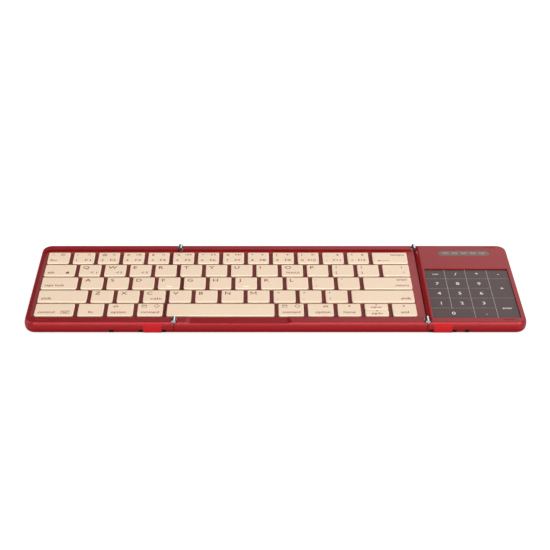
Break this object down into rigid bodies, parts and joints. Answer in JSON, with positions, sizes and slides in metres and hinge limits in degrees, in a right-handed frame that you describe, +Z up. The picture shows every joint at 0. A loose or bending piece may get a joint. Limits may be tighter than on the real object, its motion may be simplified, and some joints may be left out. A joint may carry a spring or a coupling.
{
  "type": "folding keyboard",
  "caption": "Pocket keyboard in three hinged panels that fold over each other, with travelling scissor keys, a touch number pad on the right wing and a side power switch.",
  "frame": {"origin": "middle of the whole footprint, on the surface that the foot strips stand on, with the keyboard open and flat", "axes": "+X to the right along the keyboard, +Y from the front edge to the back edge, +Z up"},
  "size_m": [0.358, 0.1034, 0.0116],
  "materials": {
    "red_shell": "glossy moulded",
    "support_plate": "stamped sheet",
    "membrane_film": "printed film",
    "dome_rubber": "translucent silicone",
    "scissor_plastic": "moulded",
    "spring_wire": "drawn wire",
    "red_rubber": "matte silicone",
    "hinge_chrome": "polished",
    "touch_glass": "dark back-printed",
    "circuit_board": "solder mask",
    "grey_window": "smoked",
    "battery_pouch": "foil pouch",
    "socket_metal": "plated",
    "black_plastic": "moulded",
    "key_cream": "satin"
  },
  "bodies": {
    "centre_panel": {"centre_top_frame": "red_shell", "centre_case": "red_shell", "centre_support_plate": "support_plate", "centre_membrane": "membrane_film", "centre_domes": "dome_rubber", "centre_scissors": "scissor_plastic", "centre_stabilisers": "spring_wire", "centre_knuckles": "hinge_chrome", "hinge_pins": "hinge_chrome"},
    "left_wing": {"left_top_frame": "red_shell", "left_case": "red_shell", "left_support_plate": "support_plate", "left_membrane": "membrane_film", "left_domes": "dome_rubber", "left_scissors": "scissor_plastic", "left_stabiliser": "spring_wire", "left_foot_strip": "red_rubber", "left_bumpers": "red_rubber", "left_knuckles": "hinge_chrome"},
    "right_wing": {"right_top_cover": "red_shell", "right_case": "red_shell", "touch_glass": "touch_glass", "touch_sensor": "circuit_board", "indicator_window": "grey_window", "indicator_board": "circuit_board", "main_board": "circuit_board", "battery": "battery_pouch", "charge_socket": "socket_metal", "switch_body": "black_plastic", "right_foot_strip": "red_rubber", "right_bumpers": "red_rubber", "right_knuckles": "hinge_chrome"},
    "power_switch": {"power_slider": "black_plastic"},
    "left_number_keys": {"keys_left_number": "key_cream"},
    "left_upper_keys": {"keys_left_upper": "key_cream"},
    "left_home_keys": {"keys_left_home": "key_cream"},
    "left_lower_keys": {"keys_left_lower": "key_cream"},
    "tab_key": {"key_tab": "key_cream"},
    "caps_lock_key": {"key_caps_lock": "key_cream"},
    "left_shift_key": {"key_left_shift": "key_cream"},
    "left_ctrl_key": {"key_left_ctrl": "key_cream"},
    "fn_key": {"key_fn": "key_cream"},
    "left_alt_key": {"key_left_alt": "key_cream"},
    "left_meta_key": {"key_left_meta": "key_cream"},
    "centre_number_keys": {"keys_centre_number": "key_cream"},
    "centre_upper_keys": {"keys_centre_upper": "key_cream"},
    "centre_home_keys": {"keys_centre_home": "key_cream"},
    "centre_lower_keys": {"keys_centre_lower": "key_cream"},
    "backspace_key": {"key_backspace": "key_cream"},
    "backslash_key": {"key_backslash": "key_cream"},
    "enter_key": {"key_enter": "key_cream"},
    "right_shift_key": {"key_right_shift": "key_cream"},
    "space_key": {"key_space": "key_cream"},
    "right_meta_key": {"key_right_meta": "key_cream"},
    "right_alt_key": {"key_right_alt": "key_cream"},
    "home_key": {"key_home": "key_cream"},
    "page_up_key": {"key_page_up": "key_cream"},
    "page_down_key": {"key_page_down": "key_cream"},
    "end_key": {"key_end": "key_cream"}
  },
  "joints": [
    {"name": "left_fold", "type": "hinge", "parent": "centre_panel", "child": "left_wing", "pos_m": [-0.07215, 0, 0.01015], "axis": [0, 1, 0], "range_deg": [0, 180]},
    {"name": "right_fold", "type": "hinge", "parent": "centre_panel", "child": "right_wing", "pos_m": [0.10775, 0, 0.01015], "axis": [0, -1, 0], "range_deg": [0, 180]},
    {"name": "power_slide", "type": "slide", "parent": "right_wing", "child": "power_switch", "axis": [0, -1, 0], "range_m": [0, 0.002]},
    {"name": "press_left_number_keys", "type": "slide", "parent": "left_wing", "child": "left_number_keys", "axis": [0, 0, -1], "range_m": [0, 0.0015], "stiffness_N_per_m": 500, "springref_m": -0.004, "deforming": ["left_domes", "left_scissors"]},
    {"name": "press_left_upper_keys", "type": "slide", "parent": "left_wing", "child": "left_upper_keys", "axis": [0, 0, -1], "range_m": [0, 0.0015], "stiffness_N_per_m": 400, "springref_m": -0.004, "deforming": ["left_domes", "left_scissors"]},
    {"name": "press_left_home_keys", "type": "slide", "parent": "left_wing", "child": "left_home_keys", "axis": [0, 0, -1], "range_m": [0, 0.0015], "stiffness_N_per_m": 400, "springref_m": -0.004, "deforming": ["left_domes", "left_scissors"]},
    {"name": "press_left_lower_keys", "type": "slide", "parent": "left_wing", "child": "left_lower_keys", "axis": [0, 0, -1], "range_m": [0, 0.0015], "stiffness_N_per_m": 300, "springref_m": -0.004, "deforming": ["left_domes", "left_scissors"]},
    {"name": "press_tab_key", "type": "slide", "parent": "left_wing", "child": "tab_key", "axis": [0, 0, -1], "range_m": [0, 0.0015], "stiffness_N_per_m": 100, "springref_m": -0.004, "deforming": ["left_domes", "left_scissors"]},
    {"name": "press_caps_lock_key", "type": "slide", "parent": "left_wing", "child": "caps_lock_key", "axis": [0, 0, -1], "range_m": [0, 0.0015], "stiffness_N_per_m": 100, "springref_m": -0.004, "deforming": ["left_domes", "left_scissors"]},
    {"name": "press_left_shift_key", "type": "slide", "parent": "left_wing", "child": "left_shift_key", "axis": [0, 0, -1], "range_m": [0, 0.0015], "stiffness_N_per_m": 100, "springref_m": -0.004, "deforming": ["left_domes", "left_scissors"]},
    {"name": "press_left_ctrl_key", "type": "slide", "parent": "left_wing", "child": "left_ctrl_key", "axis": [0, 0, -1], "range_m": [0, 0.0015], "stiffness_N_per_m": 100, "springref_m": -0.004, "deforming": ["left_domes", "left_scissors"]},
    {"name": "press_fn_key", "type": "slide", "parent": "left_wing", "child": "fn_key", "axis": [0, 0, -1], "range_m": [0, 0.0015], "stiffness_N_per_m": 100, "springref_m": -0.004, "deforming": ["left_domes", "left_scissors"]},
    {"name": "press_left_alt_key", "type": "slide", "parent": "left_wing", "child": "left_alt_key", "axis": [0, 0, -1], "range_m": [0, 0.0015], "stiffness_N_per_m": 100, "springref_m": -0.004, "deforming": ["left_domes", "left_scissors"]},
    {"name": "press_left_meta_key", "type": "slide", "parent": "left_wing", "child": "left_meta_key", "axis": [0, 0, -1], "range_m": [0, 0.0015], "stiffness_N_per_m": 100, "springref_m": -0.004, "deforming": ["left_domes", "left_scissors"]},
    {"name": "press_centre_number_keys", "type": "slide", "parent": "centre_panel", "child": "centre_number_keys", "axis": [0, 0, -1], "range_m": [0, 0.0015], "stiffness_N_per_m": 800, "springref_m": -0.004, "deforming": ["centre_domes", "centre_scissors"]},
    {"name": "press_centre_upper_keys", "type": "slide", "parent": "centre_panel", "child": "centre_upper_keys", "axis": [0, 0, -1], "range_m": [0, 0.0015], "stiffness_N_per_m": 800, "springref_m": -0.004, "deforming": ["centre_domes", "centre_scissors"]},
    {"name": "press_centre_home_keys", "type": "slide", "parent": "centre_panel", "child": "centre_home_keys", "axis": [0, 0, -1], "range_m": [0, 0.0015], "stiffness_N_per_m": 700, "springref_m": -0.004, "deforming": ["centre_domes", "centre_scissors"]},
    {"name": "press_centre_lower_keys", "type": "slide", "parent": "centre_panel", "child": "centre_lower_keys", "axis": [0, 0, -1], "range_m": [0, 0.0015], "stiffness_N_per_m": 700, "springref_m": -0.004, "deforming": ["centre_domes", "centre_scissors"]},
    {"name": "press_backspace_key", "type": "slide", "parent": "centre_panel", "child": "backspace_key", "axis": [0, 0, -1], "range_m": [0, 0.0015], "stiffness_N_per_m": 100, "springref_m": -0.004, "deforming": ["centre_domes", "centre_scissors"]},
    {"name": "press_backslash_key", "type": "slide", "parent": "centre_panel", "child": "backslash_key", "axis": [0, 0, -1], "range_m": [0, 0.0015], "stiffness_N_per_m": 100, "springref_m": -0.004, "deforming": ["centre_domes", "centre_scissors"]},
    {"name": "press_enter_key", "type": "slide", "parent": "centre_panel", "child": "enter_key", "axis": [0, 0, -1], "range_m": [0, 0.0015], "stiffness_N_per_m": 100, "springref_m": -0.004, "deforming": ["centre_domes", "centre_scissors"]},
    {"name": "press_right_shift_key", "type": "slide", "parent": "centre_panel", "child": "right_shift_key", "axis": [0, 0, -1], "range_m": [0, 0.0015], "stiffness_N_per_m": 100, "springref_m": -0.004, "deforming": ["centre_domes", "centre_scissors"]},
    {"name": "press_space_key", "type": "slide", "parent": "centre_panel", "child": "space_key", "axis": [0, 0, -1], "range_m": [0, 0.0015], "stiffness_N_per_m": 100, "springref_m": -0.004, "deforming": ["centre_domes", "centre_scissors"]},
    {"name": "press_right_meta_key", "type": "slide", "parent": "centre_panel", "child": "right_meta_key", "axis": [0, 0, -1], "range_m": [0, 0.0015], "stiffness_N_per_m": 100, "springref_m": -0.004, "deforming": ["centre_domes", "centre_scissors"]},
    {"name": "press_right_alt_key", "type": "slide", "parent": "centre_panel", "child": "right_alt_key", "axis": [0, 0, -1], "range_m": [0, 0.0015], "stiffness_N_per_m": 100, "springref_m": -0.004, "deforming": ["centre_domes", "centre_scissors"]},
    {"name": "press_home_key", "type": "slide", "parent": "centre_panel", "child": "home_key", "axis": [0, 0, -1], "range_m": [0, 0.0015], "stiffness_N_per_m": 100, "springref_m": -0.004, "deforming": ["centre_domes", "centre_scissors"]},
    {"name": "press_page_up_key", "type": "slide", "parent": "centre_panel", "child": "page_up_key", "axis": [0, 0, -1], "range_m": [0, 0.0015], "stiffness_N_per_m": 100, "springref_m": -0.004, "deforming": ["centre_domes", "centre_scissors"]},
    {"name": "press_page_down_key", "type": "slide", "parent": "centre_panel", "child": "page_down_key", "axis": [0, 0, -1], "range_m": [0, 0.0015], "stiffness_N_per_m": 100, "springref_m": -0.004, "deforming": ["centre_domes", "centre_scissors"]},
    {"name": "press_end_key", "type": "slide", "parent": "centre_panel", "child": "end_key", "axis": [0, 0, -1], "range_m": [0, 0.0015], "stiffness_N_per_m": 100, "springref_m": -0.004, "deforming": ["centre_domes", "centre_scissors"]}
  ]
}
